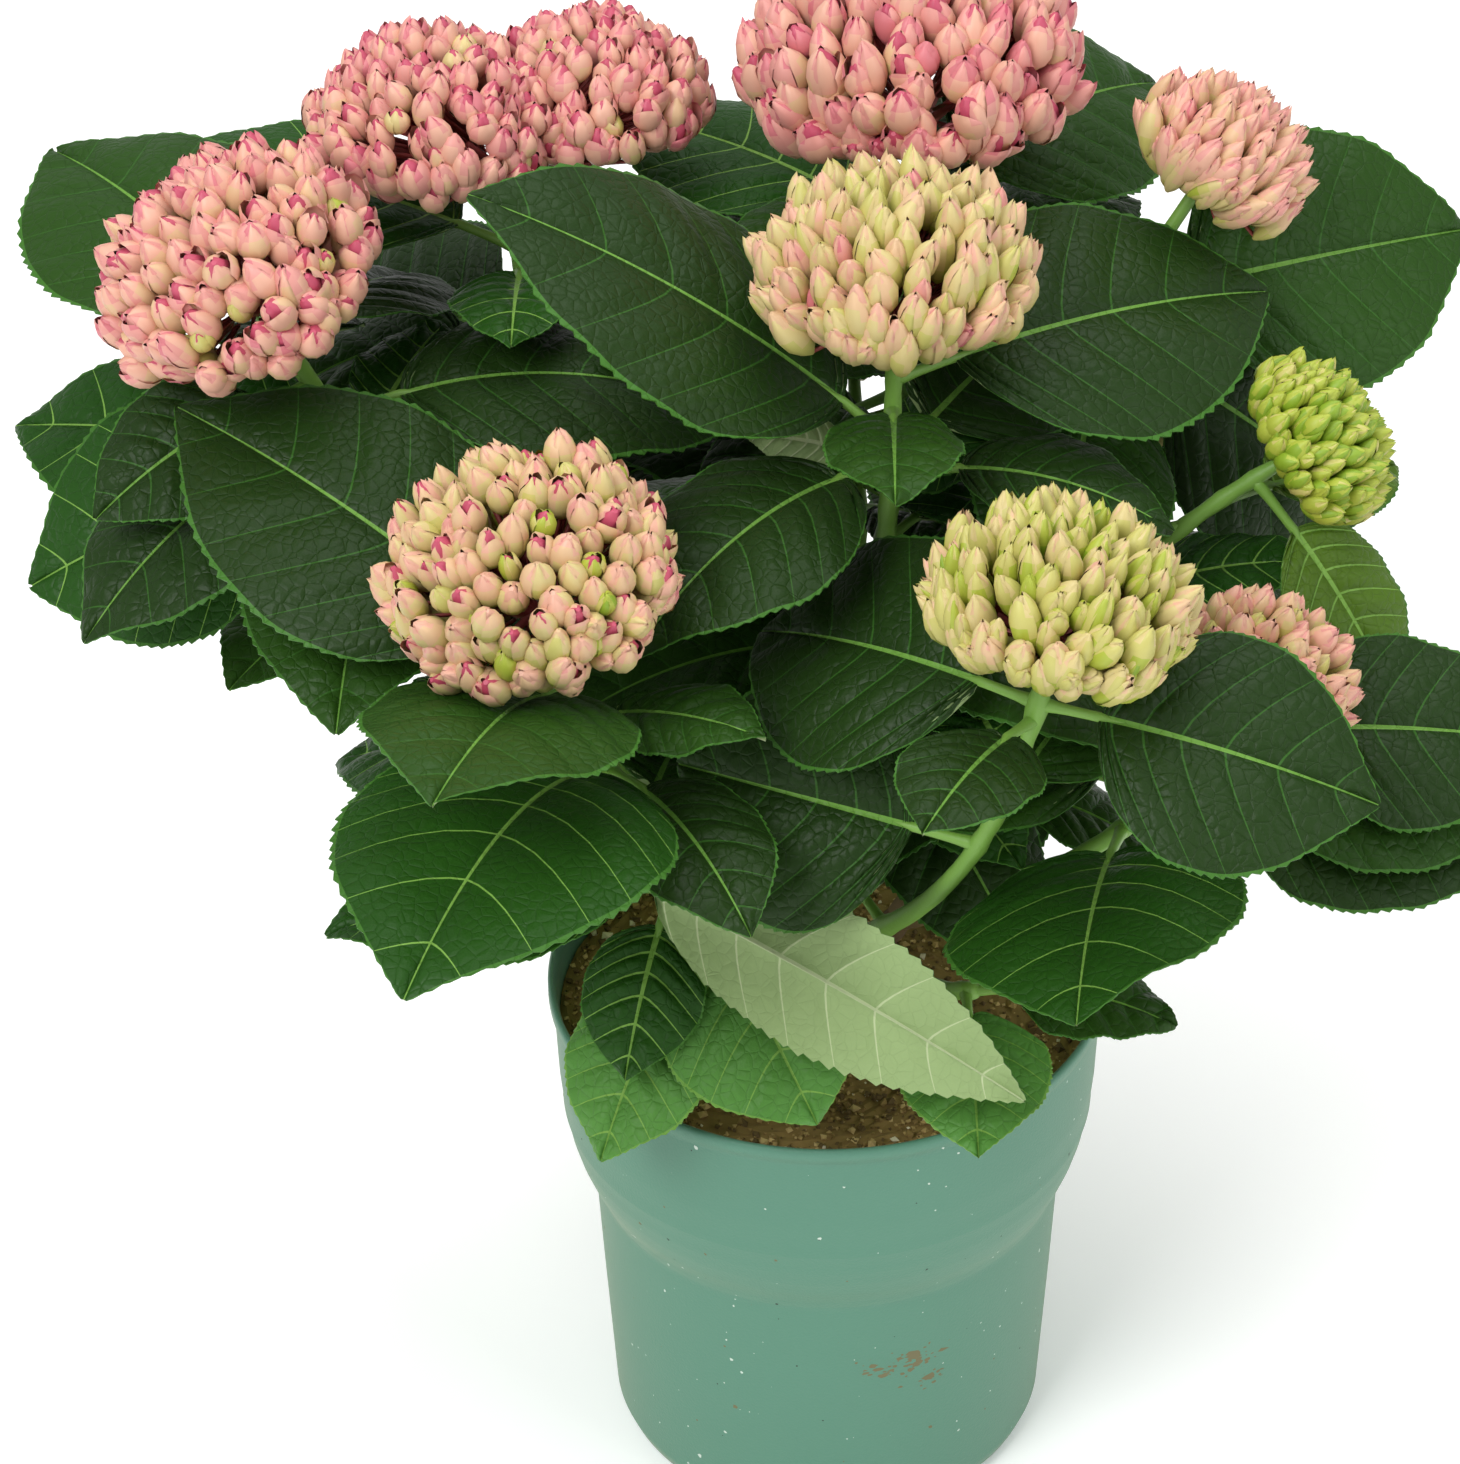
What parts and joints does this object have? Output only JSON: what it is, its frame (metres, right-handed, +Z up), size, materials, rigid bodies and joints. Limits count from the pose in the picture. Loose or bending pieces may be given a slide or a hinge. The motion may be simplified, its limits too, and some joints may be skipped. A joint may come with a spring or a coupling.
{
  "type": "potted hydrangea",
  "caption": "Bushy hydrangea shrub in bud with domed flower heads and broad serrated leaves, growing in a round tapered plastic nursery pot.",
  "frame": {"origin": "centre of the pot's flat underside", "axes": "+Z up along the pot's axis, -Y towards the front of the shrub, +X to its right"},
  "size_m": [0.6205, 0.5256, 0.6444],
  "materials": {
    "pot_plastic": "satin moulded plastic, sage green, scuffed",
    "soil": "loose brown potting soil",
    "bark": "thin brown bark",
    "green_stem": "smooth green shoots",
    "leaf": "dark green quilted leaf, pale underside",
    "blossom": "pink, cream and lime petals"
  },
  "bodies": {
    "root": {"pot": "pot_plastic", "soil": "soil", "stock": "bark", "cane_front": "bark", "cane_left": "bark", "cane_right": "bark", "cane_back": "bark", "stem_middle": "green_stem", "stem_low_front": "green_stem", "stem_front_left": "green_stem", "stem_front_right": "green_stem", "stem_left": "green_stem", "stem_back_left": "green_stem", "stem_back": "green_stem", "stem_back_right": "green_stem", "stem_right": "green_stem", "stem_right_low": "green_stem", "stem_low_right": "green_stem", "stem_low_left": "green_stem", "stem_low_back": "green_stem", "stem_rear_left": "green_stem", "stem_rear": "green_stem", "stem_rear_right": "green_stem", "leaves_middle": "leaf", "leaves_low_front": "leaf", "leaves_front_left": "leaf", "leaves_front_right": "leaf", "leaves_left": "leaf", "leaves_back_left": "leaf", "leaves_back": "leaf", "leaves_back_right": "leaf", "leaves_right": "leaf", "leaves_right_low": "leaf", "leaves_low_right": "leaf", "leaves_low_left": "leaf", "leaves_low_back": "leaf", "leaves_rear_left": "leaf", "leaves_rear": "leaf", "leaves_rear_right": "leaf", "flower_head_middle": "blossom", "flower_head_front_left": "blossom", "flower_head_front_right": "blossom", "flower_head_left": "blossom", "flower_head_back_left": "blossom", "flower_head_back": "blossom", "flower_head_back_right": "blossom", "flower_head_right": "blossom", "flower_head_right_low": "blossom", "flower_head_rear_left": "blossom", "flower_head_rear": "blossom", "flower_head_rear_right": "blossom"}
  },
  "joints": []
}
